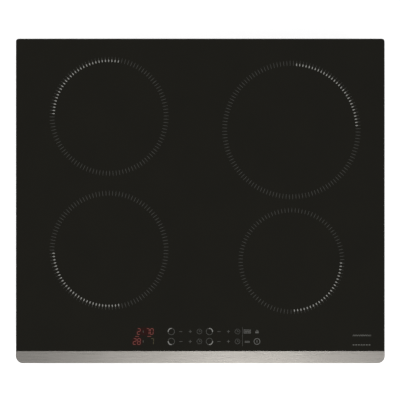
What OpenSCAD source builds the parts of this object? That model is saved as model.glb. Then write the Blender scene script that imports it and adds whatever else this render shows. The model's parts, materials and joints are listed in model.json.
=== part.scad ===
// Built-in induction hob: four cooking zones under one glass plate, a metal front trim,
// touch controls, and a sheet-steel casing that holds the coils and the electronics.
// Millimetres. X runs to the right, Y to the rear, Z up.
// The origin is the centre of the hob in the plane of the worktop, where the seal rests.

/* [Glass] */
// Overall width
hob_w = 583; // [581:1:590]
// Overall depth, glass and front trim together
hob_d = 513; // [511:1:516]
// Thickness of the glass plate
glass_t = 4; // [4:0.5:6]
// Radius of the two rear corners
rear_corner_r = 5; // [2:0.5:8]
// Width of the ground bevel along the upper edge
glass_bevel = 1; // [0.5:0.1:1.5]

/* [Front trim] */
// Depth of the visible strip, front to back
trim_d = 19; // [18:0.5:20]
// Radius of the two front corners
trim_corner_r = 11.5; // [9:0.5:12]
// Thickness of the trim's sheet
trim_sheet = 0.8; // [0.6:0.1:1]
// Height of the trim above the glass
trim_proud = 0.4; // [0.2:0.1:0.8]

/* [Seal] */
// Thickness of the foam seal under the rim
seal_t = 1.5; // [1.5:0.5:2.5]
// Width of the foam seal
seal_w = 7; // [5:0.5:7]
// Distance of the seal from the outer edge
seal_inset = 2; // [1:0.5:2]

/* [Casing] */
// Width of the casing, which drops through the cut-out
casing_w = 552; // [552:1:554]
// Depth of the casing
casing_d = 482; // [482:1:484]
// Depth of the hob below the worktop, to the face that it stands on
casing_drop = 51; // [51:0.5:54]
// Thickness of the casing's sheet
casing_sheet = 0.8; // [0.6:0.1:0.8]
// How far each retaining spring bows out from the casing
spring_bow = 4.5; // [3:0.5:4.5]

/* [Cooking zones] */
// Distance of each row of zones from the hob's centre line
zone_x = 144; // [143.5:0.5:144.5]
// Diameter of the two left zones
left_zone = 180; // [170:5:180]
// Diameter of the rear right zone
rear_right_zone = 210; // [200:5:210]
// Diameter of the front right zone
front_right_zone = 160; // [155:5:160]
// Downward travel of each coil unit on its springs, before the glass is fitted
coil_travel = 3; // [2:0.5:3]

/* [Mains connection] */
// Radius of the hole through the cable gland
gland_bore_r = 6.5; // [5:0.5:7]
// Radius of the terminal cover's hinge pins
hinge_pin_r = 1.2; // [1:0.1:1.3]

/* [Hidden] */
$fn = 96;
eps = 0.01;
contact_gap = 0.05;

// Heights of the glass, the rim and the casing
glass_z = seal_t;
glass_top_z = glass_z + glass_t;
trim_top_z = glass_top_z + trim_proud;
trim_rear_y = -hob_d / 2 + trim_d;
casing_top_z = glass_z - 0.5;
base_z = -casing_drop;
bead_h = 2.2;
floor_under_z = base_z + bead_h;
floor_z = floor_under_z + casing_sheet;
wall_x = casing_w / 2 - casing_sheet;
wall_y = casing_d / 2 - casing_sheet;

// Rim brackets, which the casing is screwed to
bracket_t = 1.1;
bracket_gap = 0.2;
bracket_top_z = glass_z - 0.3;
bracket_foot_z = -14;
tongue_rear_y = -232;
rim_screw_z = -6;
rim_screw_r = 2;
rim_screw_l = 5;
screw_gap = 0.05;
side_screw_y = [-180, 0, 180];
end_screw_x = [-150, 150];
retainer_t = 0.6;
retainer_w = 18;

// Stamped beads of the casing's floor
bead_x = [-165, 0, 165];
bead_len = 400;

// Coil units: thickness and z of each layer, counted down from the glass
insulation_t = 0.5;
winding_t = 3.5;
former_t = 2.2;
ferrite_t = 3.2;
boss_t = 2.8;
insulation_z = glass_z - contact_gap - insulation_t;
winding_z = insulation_z - winding_t;
former_z = winding_z - former_t;
winding_inner_r = 24;
hub_bore_r = 8;
arm_w = 14.4;
rail_t = 1.2;
leg_r = 3;
leg_gap = 0.6;
leg_head_r = 4.4;
leg_angles = [30, 150, 270];

// Coil support plates and the pillars that carry them: right-hand places, mirrored on the left
plate_t = 1.5;
plate_z = -18;
plate_top_z = plate_z + plate_t;
plate_x = [3, 272];
plate_y = [-184, 236];
plate_lip_t = 1.2;
pillar_r = 4;
pillars_at = [[15, -176], [262, -178], [15, 214], [267, 130]];
plate_screw_r = 1.5;
plate_screw_l = 8;
leg_foot_z = plate_z - 3.3;

// Wires
coil_wire_r = 1.3;
thin_wire_r = 0.8;
mains_wire_r = 1.5;
lead_r = 60;
lead_half_gap = 4;
sensor_lead_x = -9;

// Power boards: right-hand places, mirrored on the left
board_t = 1.6;
board_z = floor_z + 5;
board_top_z = board_z + board_t;
board_x = [36, 258];
board_y = [-165, 85];
board_posts_at = [for (x = [42, 150, 252], y = [-159, 79]) [x, y]];
board_hole_r = 1.7;
peg_r = 1.5;
heatsink_x = [108, 142];
heatsink_y = [-150, 84];
heatsink_h = 20;
tab_h = 9;
header_h = 5;

// Blowers: right-hand place, mirrored on the left
fan_xy = [100, 150];
fan_low_z = floor_z + 0.1;
fan_top_z = leg_foot_z - coil_travel - 0.2;
fan_floor_t = 1;
fan_wall = 1.4;
fan_lid_z = fan_top_z - fan_wall;
fan_scroll_r = 42;
fan_duct_w = 34;
fan_duct_y = -60;
fan_inlet_r = 28;
impeller_r = 36;
impeller_eye_r = 27;
impeller_low_z = floor_z + 3;
impeller_high_z = fan_lid_z - 1.6;
impeller_disc_t = 1.2;
blade_count = 31;
cup_r = 16;
cup_wall = 1.5;
cup_low_z = impeller_high_z - 14;
motor_r = 13.5;
motor_t = 12;
shaft_r = 1.5;
shaft_gap = 0.05;

// Filter board
filter_x = [166, 258];
filter_y = [89, 159];
filter_posts_at = [for (x = [172, 252], y = [95, 153]) [x, y]];

// Terminal bay, in the rear right corner, open at the bottom
bay_x = [182, 264];
bay_y = [176, 238];
bay_wall = 1.6;
bay_ceiling_z = -27.5;
bay_low_z = floor_under_z + 0.2;
bay_flange_y = 166;
bay_flange_t = 1.2;
hinge_y = 173.5;
hinge_z = floor_under_z + 0.3;
hinge_gap = 0.05;
ear_r = 2.3;
ear_w = 3;
ears_x = [190, 253];
arms_x = [[186.5, 189.7], [256.3, 259.5]];
arm_r = 1.9;
hinge_slot_x = [185, 261];
cover_t = 1.6;
gland_x = 236;
gland_z = -38;
gland_r = gland_bore_r + 2;
gland_flange_r = 11;
gland_flange_t = 2.5;
pole_count = 5;
pole_pitch = 13;
pole_x = 194;
pole_y = 200;
block_y = [184, 206];
block_low_z = bay_ceiling_z - 11;
mains_lead_z = -34;

// Touch controls: key columns, the two rows, and the displays to their left
key_rows = [-206.5, -222.2];
key_pitch = 15;
key_x = -45.8;
key_columns = 10;
display_x = [-100, -79];
display_size = [15.6, 12];
control_x = [-118, 106];
control_y = [-231, -192];
control_wall = 1.5;
control_board_z = -3.8;
control_board_top_z = control_board_z + board_t;
control_low_z = control_board_z - 5;
control_leg_x = [-50, 50];
ribbon_x = [-60, -46];

// name, on the left, y, diameter, ferrite bars, angle of the coil leads
zones = [
    ["rear_left", true, 133.5, left_zone, 9, 300],
    ["rear_right", false, 112, rear_right_zone, 9, 300],
    ["front_left", true, -78, left_zone, 9, 300],
    ["front_right", false, -95, front_right_zone, 6, 330],
];

function winding_outer_r(zone) = zone[3] / 2 - 6;
function leg_radius(zone) = winding_outer_r(zone) - 11;
// Where a coil's leads come down, in right-hand coordinates
function lead_at(zone) = [zone_x + lead_r * cos(zone[5]), zone[2] + lead_r * sin(zone[5])];

// ---------------------------------------------------------------- shared shapes

// Box from one corner to the other
module span(low, high) {
    translate(low) cube(high - low);
}

module mirrored_if(left) {
    if (left) mirror([1, 0, 0]) children();
    else children();
}

module both_sides() {
    children();
    mirror([1, 0, 0]) children();
}

// Moves a coil unit's piece from the origin to its zone
module at_zone(zone) {
    mirrored_if(zone[1]) translate([zone_x, zone[2], 0]) children();
}

// Rectangle about the origin with round corners
module round_rect(w, d, r) {
    square([w - 2 * r, d], center = true);
    square([w, d - 2 * r], center = true);
    for (x = [-1, 1], y = [-1, 1]) translate([x * (w / 2 - r), y * (d / 2 - r)]) circle(r = r);
}

// Plan of the whole rim, drawn in by inset
module rim_outline(inset) {
    front_r = max(trim_corner_r - inset, 0.5);
    rear_r = max(rear_corner_r - inset, 0.5);
    x = hob_w / 2 - inset;
    y = hob_d / 2 - inset;
    translate([-x, -y + front_r]) square([2 * x, 2 * y - front_r - rear_r]);
    translate([-x + front_r, -y]) square([2 * (x - front_r), 2 * front_r]);
    translate([-x + rear_r, y - 2 * rear_r]) square([2 * (x - rear_r), 2 * rear_r]);
    for (s = [-1, 1]) {
        translate([s * (x - front_r), -y + front_r]) circle(r = front_r);
        translate([s * (x - rear_r), y - rear_r]) circle(r = rear_r);
    }
}

module ring(inner_r, outer_r) {
    difference() {
        circle(r = outer_r);
        circle(r = inner_r);
    }
}

// Slot with round ends, along Y
module slot(length, width) {
    square([width, length - width], center = true);
    for (s = [-1, 1]) translate([0, s * (length - width) / 2]) circle(d = width);
}

// Slotted screw that points down, with its head's underside at z = 0
module screw(shank_r, length, head_r, head_h) {
    slot_w = 0.8;
    difference() {
        cylinder(r = head_r, h = head_h);
        translate([-head_r, -slot_w / 2, head_h / 2]) cube([2 * head_r, slot_w, head_h]);
    }
    translate([0, 0, -length]) cylinder(r = shank_r, h = length + eps);
}

// Wire through a list of points, with a ball at each bend
module wire(points, r) {
    for (i = [0 : len(points) - 2])
        let (step = points[i + 1] - points[i], length = norm(step))
            translate(points[i]) rotate([0, acos(step.z / length), atan2(step.y, step.x)])
                cylinder(r = r, h = length);
    for (i = [1 : len(points) - 2]) translate(points[i]) sphere(r = r * 1.06);
}

// Wound ring core that lies flat at z = 0
module choke(outer_r, height) {
    inner_r = outer_r * 0.4;
    round = 1.5;
    rotate_extrude() polygon([
        [inner_r, round], [inner_r + round, 0], [outer_r - round, 0], [outer_r, round],
        [outer_r, height - round], [outer_r - round, height], [inner_r + round, height],
        [inner_r, height - round]]);
}

// ---------------------------------------------------------------- glass, trim and rim

module glass_top() {
    low = 0.4;
    side = hob_w / 2;
    rear = hob_d / 2;
    color("#1f1e1a") intersection() {
        translate([0, 0, glass_z]) linear_extrude(glass_t) intersection() {
            rim_outline(0);
            translate([-side, trim_rear_y]) square([hob_w, hob_d]);
        }
        rotate([90, 0, 0]) linear_extrude(hob_d + 2, center = true) polygon([
            [-side, glass_z + low], [-side + low, glass_z], [side - low, glass_z], [side, glass_z + low],
            [side, glass_top_z - glass_bevel], [side - glass_bevel, glass_top_z],
            [-side + glass_bevel, glass_top_z], [-side, glass_top_z - glass_bevel]]);
        rotate([90, 0, 90]) linear_extrude(hob_w + 2, center = true) polygon([
            [trim_rear_y, glass_z], [rear - low, glass_z], [rear, glass_z + low],
            [rear, glass_top_z - glass_bevel], [rear - glass_bevel, glass_top_z],
            [trim_rear_y, glass_top_z]]);
    }
}

module trim_plan(inset, depth) {
    intersection() {
        rim_outline(inset);
        translate([-hob_w / 2, -hob_d / 2]) square([hob_w, depth]);
    }
}

// Folded cap: a top flange with a skirt along the front and the two ends
module front_trim() {
    height = trim_top_z - glass_z;
    color("#b5b0a8") difference() {
        translate([0, 0, glass_z]) linear_extrude(height) trim_plan(0, trim_d);
        translate([0, 0, glass_z - 1]) linear_extrude(height - trim_sheet + 1) {
            trim_plan(trim_sheet, trim_d);
            translate([-hob_w / 2 + trim_sheet, trim_rear_y - 3]) square([hob_w - 2 * trim_sheet, 4]);
        }
    }
}

// Extruded bar that fills the cap, with a tongue under the glass and a leg inside the casing
module trim_carrier() {
    half = 268;
    leg_y = -wall_y + 0.3;
    tongue_t = bracket_t;
    color("#3a3a3c") difference() {
        union() {
            translate([0, 0, glass_z]) linear_extrude(trim_top_z - trim_sheet - 0.1 - glass_z)
                trim_plan(trim_sheet + 0.1, trim_d - 0.3);
            span([-half, leg_y, bracket_top_z - tongue_t], [half, leg_y + 2, glass_z + eps]);
            span([-half, leg_y, bracket_top_z - tongue_t], [half, tongue_rear_y, bracket_top_z]);
            span([-half, leg_y, bracket_foot_z], [half, leg_y + 1.2, bracket_top_z - tongue_t + eps]);
        }
        for (x = end_screw_x) translate([x, leg_y + 3, rim_screw_z])
            rotate([90, 0, 0]) cylinder(r = rim_screw_r + screw_gap, h = 6);
    }
}

module worktop_seal() {
    color("#2b2b2b") linear_extrude(seal_t) difference() {
        rim_outline(seal_inset);
        rim_outline(seal_inset + seal_w);
    }
}

// One angle along each side and one along the rear
module glass_brackets() {
    x = wall_x - bracket_gap;
    y = wall_y - bracket_gap;
    color("#9a9da0") {
        both_sides() difference() {
            union() {
                span([x - 18, -200, bracket_top_z - bracket_t], [x, 214, bracket_top_z]);
                span([x - bracket_t, -200, bracket_foot_z], [x, 214, bracket_top_z]);
            }
            for (screw_y = side_screw_y) translate([x - 3, screw_y, rim_screw_z])
                rotate([0, 90, 0]) cylinder(r = rim_screw_r + screw_gap, h = 6);
        }
        difference() {
            union() {
                span([-245, y - 16, bracket_top_z - bracket_t], [245, y, bracket_top_z]);
                span([-245, y - bracket_t, bracket_foot_z], [245, y, bracket_top_z]);
            }
            for (screw_x = end_screw_x) translate([screw_x, y + 3, rim_screw_z])
                rotate([90, 0, 0]) cylinder(r = rim_screw_r + screw_gap, h = 6);
        }
    }
}

// Beads that bond the brackets and the carrier's tongue to the glass
module glass_adhesive() {
    x = wall_x - bracket_gap;
    y = wall_y - bracket_gap;
    color("#202020") {
        both_sides() span([x - 16, -198, bracket_top_z], [x - 2, 212, glass_z]);
        span([-243, y - 14, bracket_top_z], [243, y - 2, glass_z]);
        span([-266, trim_rear_y + 0.4, bracket_top_z], [266, tongue_rear_y - 0.3, glass_z]);
    }
}

// ---------------------------------------------------------------- casing

// Channel stamped down from the floor, closed at both ends
module bead(x) {
    top = floor_under_z + eps;
    translate([x, 0, 0]) rotate([90, 0, 0]) difference() {
        linear_extrude(bead_len, center = true)
            polygon([[-6, top], [6, top], [4.5, base_z], [-4.5, base_z]]);
        linear_extrude(bead_len - 2 * casing_sheet, center = true)
            polygon([[-5.2, top + 1], [5.2, top + 1],
                [3.9, base_z + casing_sheet], [-3.9, base_z + casing_sheet]]);
    }
}

// Air inlet below a blower: parallel slots that fill a circle
module inlet_slots() {
    for (x = [-24 : 8 : 24]) translate([x, 0]) slot(2 * sqrt(pow(fan_inlet_r, 2) - x * x) - 3, 4);
}

// Air outlets along the front edge of the floor
module outlet_slots() {
    for (i = [0 : 13]) translate([70 + i * 13, -214]) slot(26, 4);
}

module casing() {
    corner_r = 3;
    hole_r = rim_screw_r + 0.2;
    color("#a3a7aa") {
        difference() {
            translate([0, 0, floor_under_z]) linear_extrude(casing_top_z - floor_under_z)
                round_rect(casing_w, casing_d, corner_r);
            translate([0, 0, floor_z]) linear_extrude(casing_drop + 10)
                round_rect(2 * wall_x, 2 * wall_y, corner_r - casing_sheet);
            translate([0, 0, floor_under_z - 1]) linear_extrude(casing_sheet + 2) {
                both_sides() {
                    translate(fan_xy) inlet_slots();
                    outlet_slots();
                }
                translate([bay_x[0] - 0.5, hinge_y - 3.5])
                    square([bay_x[1] - bay_x[0] + 1, bay_y[1] - hinge_y + 4]);
                for (x = bead_x) translate([x - 5.2, -bead_len / 2 + casing_sheet])
                    square([10.4, bead_len - 2 * casing_sheet]);
            }
            both_sides() for (y = side_screw_y) translate([wall_x - 1, y, rim_screw_z])
                rotate([0, 90, 0]) cylinder(r = hole_r, h = 4);
            for (x = end_screw_x, s = [-1, 1]) translate([x, s * wall_y, rim_screw_z])
                rotate([90, 0, 0]) cylinder(r = hole_r, h = 6, center = true);
            translate([gland_x, wall_y - 2, gland_z])
                rotate([-90, 0, 0]) cylinder(r = gland_r + 0.1, h = 6);
            // louvre slots in the rear wall
            both_sides() for (i = [0 : 11]) translate([60 + i * 7, wall_y + 2, -38])
                rotate([90, 0, 0]) linear_extrude(4) slot(16, 3);
        }
        for (x = bead_x) bead(x);
    }
}

// Screws through the casing's walls into the rim brackets; four of them also hold the retainers
module rim_screws() {
    head_r = 3.4;
    head_h = 1.6;
    color("#c8c8c4") {
        both_sides() for (y = side_screw_y)
            translate([casing_w / 2 + (y == 0 ? 0 : retainer_t), y, rim_screw_z])
                rotate([0, 90, 0]) screw(rim_screw_r, rim_screw_l, head_r, head_h);
        for (x = end_screw_x, s = [-1, 1]) translate([x, s * casing_d / 2, rim_screw_z])
            rotate([-90 * s, 0, 0]) screw(rim_screw_r, rim_screw_l, head_r, head_h);
    }
}

// Leaf springs on the side walls, which grip the edge of the cut-out
module retaining_springs() {
    t = retainer_t;
    bow = spring_bow;
    color("#8f9398") both_sides() for (y = [side_screw_y[0], side_screw_y[2]])
        translate([casing_w / 2, y, 0]) difference() {
            rotate([90, 0, 0]) linear_extrude(retainer_w, center = true) polygon([
                [0, -1], [0, -14], [bow - t, -27], [bow - t, -31], [0.6, -44], [1.2, -44.4],
                [bow, -31.2], [bow, -26.8], [t, -13.8], [t, -1]]);
            translate([-1, 0, rim_screw_z]) rotate([0, 90, 0])
                cylinder(r = rim_screw_r + screw_gap, h = 3);
        }
}

// ---------------------------------------------------------------- coil plates and pillars

// Shield plate above the electronics, with a stiffening lip along its outer edge
module coil_plate(left) {
    lip_y = [-172, 110];
    color("#c9ccce") mirrored_if(left) difference() {
        union() {
            span([plate_x[0], plate_y[0], plate_z], [plate_x[1], plate_y[1], plate_top_z]);
            span([plate_x[1] - plate_lip_t, lip_y[0], plate_z - 5], [plate_x[1], lip_y[1], plate_z + eps]);
        }
        for (zone = zones) if (zone[1] == left) {
            translate([zone_x, zone[2], plate_z - 1]) for (a = leg_angles)
                rotate(a) translate([leg_radius(zone), 0]) cylinder(r = leg_r + leg_gap, h = plate_t + 2);
            // window for the coil's leads
            translate([lead_at(zone).x - 13, lead_at(zone).y - 7, plate_z - 1])
                cube([22, 14, plate_t + 2]);
        }
        for (p = pillars_at) translate([p.x, p.y, plate_z - 1])
            cylinder(r = plate_screw_r + 0.2, h = plate_t + 2);
    }
}

module plate_pillars() {
    height = plate_z - floor_z;
    color("#b9bcbe") both_sides() for (p = pillars_at) translate([p.x, p.y, floor_z]) difference() {
        cylinder(r = pillar_r, h = height);
        translate([0, 0, height - 10]) cylinder(r = plate_screw_r + screw_gap, h = 11);
    }
}

module plate_screws() {
    color("#c8c8c4") both_sides() for (p = pillars_at)
        translate([p.x, p.y, plate_top_z]) screw(plate_screw_r, plate_screw_l, 3, 1.5);
}

// ---------------------------------------------------------------- coil units

// Flat spiral of stranded wire, as the disc that it fills
module winding(zone) {
    outer = winding_outer_r(zone);
    round = 0.8;
    color("#b4673a") at_zone(zone) rotate_extrude() translate([0, winding_z]) polygon([
        [winding_inner_r, round], [winding_inner_r + round, 0], [outer - round, 0], [outer, round],
        [outer, winding_t - round], [outer - round, winding_t], [winding_inner_r + round, winding_t],
        [winding_inner_r, winding_t - round]]);
}

// Moulded wheel: hub, rim, arms over the ferrite bars, and three legs that slide in the plate
module former(zone) {
    outer = winding_outer_r(zone);
    bars = zone[4];
    arm_l = outer - hub_bore_r - 1;
    rail_l = outer - 8 - winding_inner_r;
    head_h = 1.25;
    color("#d8d4c6") at_zone(zone) {
        translate([0, 0, former_z]) linear_extrude(former_t) difference() {
            union() {
                circle(r = winding_inner_r);
                ring(outer - 5, outer + 2);
                for (i = [0 : bars - 1]) rotate(i * 360 / bars)
                    translate([hub_bore_r + 1, -arm_w / 2]) square([arm_l, arm_w]);
                for (a = leg_angles) rotate(a) translate([hub_bore_r + 1, -6]) square([arm_l, 12]);
            }
            circle(r = hub_bore_r + 0.2);
        }
        // locating rim in the winding's hole
        translate([0, 0, former_z + former_t - eps]) linear_extrude(2 + eps)
            ring(winding_inner_r - 2, winding_inner_r - 0.3);
        // rails beside the ferrite bars
        for (i = [0 : bars - 1], s = [-1, 1]) rotate(i * 360 / bars)
            translate([winding_inner_r, s * (arm_w - rail_t) / 2 - rail_t / 2, former_z - 2])
                cube([rail_l, rail_t, 2 + eps]);
        for (a = leg_angles) rotate(a) translate([leg_radius(zone), 0, 0]) {
            translate([0, 0, former_z - boss_t]) cylinder(r = 6, h = boss_t + eps);
            translate([0, 0, leg_foot_z]) cylinder(r = leg_r, h = former_z - leg_foot_z);
            translate([0, 0, leg_foot_z]) cylinder(r1 = leg_r, r2 = leg_head_r, h = head_h + eps);
            translate([0, 0, leg_foot_z + head_h]) cylinder(r = leg_head_r, h = head_h);
        }
    }
}

// Bars that lie under the former's arms and guide the field
module ferrites(zone) {
    bars = zone[4];
    length = winding_outer_r(zone) - 11 - winding_inner_r;
    width = arm_w - 2 * rail_t - 0.4;
    color("#3b3a3d") at_zone(zone) for (i = [0 : bars - 1]) rotate(i * 360 / bars)
        translate([winding_inner_r + 1, -width / 2, former_z - ferrite_t]) cube([length, width, ferrite_t]);
}

// Mica disc between the winding and the glass
module insulation(zone) {
    color("#cfc3a1") at_zone(zone) translate([0, 0, insulation_z]) linear_extrude(insulation_t)
        ring(hub_bore_r + 0.5, winding_outer_r(zone) + 1);
}

// Sensor in the middle of each coil, pressed to the glass
module temperature_sensors() {
    cap_t = 1.6;
    cap_z = glass_z - contact_gap - cap_t;
    color("#e9e7e0") for (zone = zones) at_zone(zone) {
        translate([0, 0, former_z]) cylinder(r = hub_bore_r, h = cap_z - former_z + eps);
        translate([0, 0, cap_z]) cylinder(r = 5, h = cap_t);
        translate([0, 0, former_z - 3]) cylinder(r = 4, h = 3 + eps);
    }
}

spring_wire_r = 0.6;
spring_turns = 3;
spring_steps = 8;
spring_sides = 5;
spring_base_r = 7.6;
spring_tip_r = 5.4;

function spring_centre(t, height) = let (a = 360 * spring_turns * t, r = spring_base_r
    + (spring_tip_r - spring_base_r) * t) [r * cos(a), r * sin(a),
    spring_wire_r + (height - 2 * spring_wire_r) * t];

// Conical compression spring, swept along its helix
module coil_spring(height) {
    rings = spring_turns * spring_steps;
    n = spring_sides;
    points = [for (i = [0 : rings], j = [0 : n - 1])
        let (a = 360 * spring_turns * i / rings, b = 360 * j / n)
        spring_centre(i / rings, height) + spring_wire_r * [cos(a) * cos(b), sin(a) * cos(b), sin(b)]];
    walls = [for (i = [0 : rings - 1], j = [0 : n - 1]) let (k = (j + 1) % n, p = i * n, q = p + n)
        each [[p + j, q + j, p + k], [p + k, q + j, q + k]]];
    caps = [[for (j = [0 : n - 1]) j], [for (j = [n - 1 : -1 : 0]) rings * n + j]];
    polyhedron(points, concat(walls, caps), convexity = 12);
}

// Three springs under each coil unit
module coil_springs() {
    height = former_z - boss_t - plate_top_z - 2 * contact_gap;
    color("#d0d2d4") for (zone = zones) at_zone(zone) for (a = leg_angles)
        rotate(a) translate([leg_radius(zone), 0, plate_top_z + contact_gap]) coil_spring(height);
}

// ---------------------------------------------------------------- wiring

// Two leads from each winding straight down to its tabs on the power board
module coil_leads() {
    low = board_top_z + tab_h;
    color("#8a3b2a") for (zone = zones) mirrored_if(zone[1]) for (s = [-1, 1])
        translate([lead_at(zone).x + s * lead_half_gap, lead_at(zone).y, low])
            cylinder(r = coil_wire_r, h = winding_z - low);
}

// Leads of the temperature sensors and of the blower motors
module thin_leads() {
    run_z = -12.5;
    lid_run_z = fan_top_z + thin_wire_r + 0.1;
    color("#3a4f8a") {
        for (zone = zones) mirrored_if(zone[1]) let (x = lead_at(zone).x + sensor_lead_x, y = lead_at(zone).y)
            wire([[zone_x, zone[2], former_z - 3], [zone_x, zone[2], run_z], [x, y, run_z],
                [x, y, board_top_z + header_h]], thin_wire_r);
        both_sides() wire([[fan_xy.x - 8, fan_xy.y - 14, lid_run_z], [84, 103, lid_run_z],
            [84, 103, -38], [84, 80, -38], [84, 80, board_top_z]], thin_wire_r);
    }
}

// From the terminal block to the filter board, and from there to both power boards
module mains_leads() {
    r = mains_wire_r;
    hop_z = -37;
    floor_run_z = [floor_z + r + 0.3, floor_z + 3 * r + 0.5];
    color("#7a4a24") {
        for (i = [1 : 3]) let (x = pole_x + i * pole_pitch)
            wire([[x, block_y[0], mains_lead_z], [x, 154, mains_lead_z], [x, 154, board_top_z]], r);
        for (x = [222, 232]) wire([[x, 92, board_top_z], [x, 92, hop_z], [x, 82, hop_z],
            [x, 82, board_top_z]], r);
        for (i = [0, 1]) let (right_x = 186 - 6 * i, left_x = -196 + 6 * i, y = 87)
            wire([[right_x, 92, board_top_z], [right_x, 92, hop_z], [right_x, y, hop_z],
                [right_x, y, floor_run_z[i]], [left_x, y, floor_run_z[i]], [left_x, y, hop_z],
                [left_x, 82, hop_z], [left_x, 82, board_top_z]], r);
    }
}

// ---------------------------------------------------------------- touch controls

module control_carrier() {
    wall = control_wall;
    low = control_low_z;
    ledge = 3;
    color("#e4e2dc") {
        difference() {
            union() {
                span([control_x[0], control_y[0], low], [control_x[1], control_y[1], 0]);
                for (x = control_leg_x) span([x - 5, -218, floor_z], [x + 5, -208, low + eps]);
            }
            span([control_x[0] + wall, control_y[0] + wall, low + wall],
                [control_x[1] - wall, control_y[1] - wall, 5]);
            // window for the ribbon cable
            span([ribbon_x[0] - 2, control_y[1] - 3, low + wall],
                [ribbon_x[1] + 2, control_y[1] + 1, control_board_z - 0.6]);
        }
        // ledges that the board rests on
        for (x = [control_x[0] + wall - eps, control_x[1] - wall - ledge])
            span([x, control_y[0] + wall - eps, low + wall - eps],
                [x + ledge + eps, control_y[1] - wall + eps, control_board_z]);
    }
}

module control_board() {
    gap = control_wall + 0.2;
    color("#2f6b3c") span([control_x[0] + gap, control_y[0] + gap, control_board_z],
        [control_x[1] - gap, control_y[1] - gap, control_board_top_z]);
}

// Two-digit light displays, one for each zone
module display_modules() {
    height = glass_z - 0.1 - control_board_top_z;
    color("#1a1a1c") for (x = display_x, y = key_rows)
        translate([x - display_size.x / 2, y - display_size.y / 2, control_board_top_z])
            cube([display_size.x, display_size.y, height]);
}

// Sprung sensing pads, one under each key
module touch_pads() {
    height = glass_z - 0.1 - control_board_top_z;
    color("#8c8f94") for (i = [0 : key_columns - 1], y = key_rows)
        translate([key_x + i * key_pitch, y, control_board_top_z]) difference() {
            cylinder(r = 5.5, h = height);
            translate([0, 0, -1]) cylinder(r = 3.5, h = height);
        }
}

// Flat cable from under the control board to the left power board
module ribbon_cable() {
    t = 0.8;
    drop_y = -188;
    run_z = control_board_z - 1.8;
    end_y = -155;
    color("#9ea3a8") {
        translate([ribbon_x[0], 0, 0]) rotate([90, 0, 90]) linear_extrude(ribbon_x[1] - ribbon_x[0])
            polygon([[-203, run_z], [drop_y, run_z], [drop_y, -34], [-161, board_top_z + 4],
                [end_y, board_top_z + 4], [end_y, board_top_z + 4 - t], [-161.5, board_top_z + 4 - t],
                [drop_y - t, -34.4], [drop_y - t, run_z - t], [-203, run_z - t]]);
        span([ribbon_x[0], -203, run_z - eps], [ribbon_x[1], -198, control_board_z]);
        span([ribbon_x[0], -160, board_top_z], [ribbon_x[1], end_y, board_top_z + 4 - t + eps]);
    }
}

// ---------------------------------------------------------------- power boards

// Board with a hole for each post
module pegged_board(x, y, posts) {
    difference() {
        span([x[0], y[0], board_z], [x[1], y[1], board_top_z]);
        for (p = posts) translate([p.x, p.y, board_z - 1]) cylinder(r = board_hole_r, h = board_t + 2);
    }
}

module power_board(left) {
    color("#356b45") mirrored_if(left) pegged_board(board_x, board_y, board_posts_at);
}

module board_post() {
    height = board_z - floor_z;
    cylinder(r = 3.5, h = height);
    translate([0, 0, height - eps]) cylinder(r = peg_r, h = board_t + 0.8);
}

// Posts that hold the power boards and the filter board off the floor
module board_posts() {
    color("#f0efe9") {
        both_sides() for (p = board_posts_at) translate([p.x, p.y, floor_z]) board_post();
        for (p = filter_posts_at) translate([p.x, p.y, floor_z]) board_post();
    }
}

// Extruded comb that the blower's air runs along
module heatsink(left) {
    fins = 9;
    fin_t = 1.3;
    base_t = 4;
    pitch = (heatsink_x[1] - heatsink_x[0] - fin_t) / (fins - 1);
    color("#cdd0d3") mirrored_if(left) {
        span([heatsink_x[0], heatsink_y[0], board_top_z],
            [heatsink_x[1], heatsink_y[1], board_top_z + base_t]);
        for (i = [0 : fins - 1]) let (x = heatsink_x[0] + i * pitch)
            span([x, heatsink_y[0], board_top_z + base_t - eps],
                [x + fin_t, heatsink_y[1], board_top_z + heatsink_h]);
    }
}

// Box on a board, from its low corner and its size
module part_box(at, size) {
    translate([at.x, at.y, board_top_z]) cube(size);
}

// Power transistor clamped upright to the heatsink's first fin, on three pins
module transistor(y) {
    translate([heatsink_x[0] - 5, y, board_top_z + 3]) cube([5, 16, 16]);
    for (pin = [0 : 2]) translate([heatsink_x[0] - 3, y + 2.5 + pin * 5, board_top_z])
        cube([0.8, 1.2, 3 + eps]);
}

module power_components(left) {
    color("#4a4c52") mirrored_if(left) {
        for (i = [0 : 3]) part_box([145, -150 + i * 34], [16, 31, 19]);
        for (i = [0 : 1]) part_box([46, -148 + i * 52], [22, 42, 19]);
        for (i = [0 : 2]) part_box([206, 20 + i * 16], [28, 12, 15]);
        part_box([206, -60], [28, 24, 18]);
        part_box([222, -150], [20, 8, 10]);
        part_box([200, -100], [14, 14, 2]);
        for (y = [-132 : 32 : -36]) transistor(y);
        part_box([heatsink_x[0] - 6, 10], [6, 32, 20]);
        for (y = [-20, 36]) translate([78, y, board_top_z]) choke(20, 12);
        for (y = [-80, -62]) translate([188, y, board_top_z]) cylinder(r = 6, h = 16);
        // tabs for the coil leads and a header for each sensor
        for (zone = zones) if (zone[1] == left) let (x = lead_at(zone).x, y = lead_at(zone).y) {
            for (s = [-1, 1]) part_box([x + s * lead_half_gap - 1.5, y - 3], [3, 6, tab_h]);
            part_box([x + sensor_lead_x - 3, y - 2], [6, 4, header_h]);
        }
    }
}

// ---------------------------------------------------------------- blowers

// Scroll with a straight duct that leaves to the front
module fan_plan(inset) {
    circle(r = fan_scroll_r - inset);
    translate([fan_scroll_r - fan_duct_w + inset, fan_duct_y])
        square([fan_duct_w - 2 * inset, -fan_duct_y]);
}

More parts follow.
